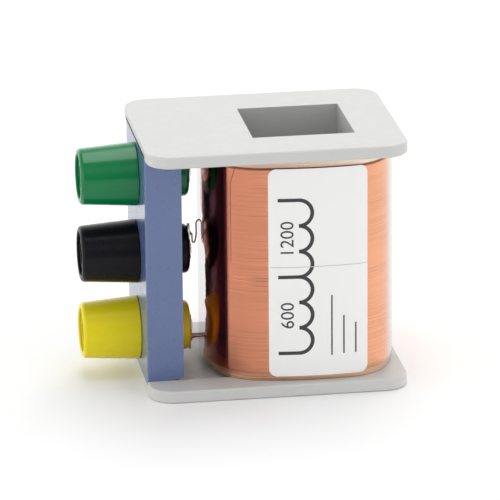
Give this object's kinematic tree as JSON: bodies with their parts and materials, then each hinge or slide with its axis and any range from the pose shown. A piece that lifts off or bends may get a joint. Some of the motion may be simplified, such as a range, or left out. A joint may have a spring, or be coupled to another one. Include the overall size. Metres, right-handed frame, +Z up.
{
  "type": "transformer coil",
  "caption": "Square-bore copper coil on a flanged former, with a terminal panel of colour-coded safety sockets; slides on the limb of a demountable transformer core.",
  "frame": {"origin": "centre of the core opening in the plane of the lower flange's outer face", "axes": "+Z up along the core limb, sockets towards -X, label towards -Y"},
  "size_m": [0.0653, 0.0426, 0.0523],
  "materials": {
    "former_grey": "fine satin moulding",
    "copper_wire": "enamelled copper wire, wound in close horizontal turns",
    "clear_film": "thin clear glossy film",
    "label_white": "white label stock with black print",
    "panel_blue": "smooth semi-gloss moulding",
    "socket_green": "smooth semi-gloss moulding",
    "socket_black": "smooth semi-gloss moulding",
    "socket_yellow": "smooth semi-gloss moulding",
    "contact_metal": "nickel-plated brass",
    "tag_metal": "tinned brass",
    "solder_metal": "solder"
  },
  "bodies": {
    "root": {"coil_former": "former_grey", "winding_inner": "copper_wire", "winding_outer": "copper_wire", "clear_wrap": "clear_film", "label": "label_white", "terminal_panel": "panel_blue", "socket_head_yellow": "socket_yellow", "socket_nut_yellow": "socket_yellow", "contact_yellow": "contact_metal", "solder_tag_yellow": "tag_metal", "solder_yellow": "solder_metal", "lead_start": "copper_wire", "socket_head_black": "socket_black", "socket_nut_black": "socket_black", "contact_black": "contact_metal", "solder_tag_black": "tag_metal", "solder_black": "solder_metal", "lead_tap": "copper_wire", "socket_head_green": "socket_green", "socket_nut_green": "socket_green", "contact_green": "contact_metal", "solder_tag_green": "tag_metal", "solder_green": "solder_metal", "lead_finish": "copper_wire"}
  },
  "joints": []
}
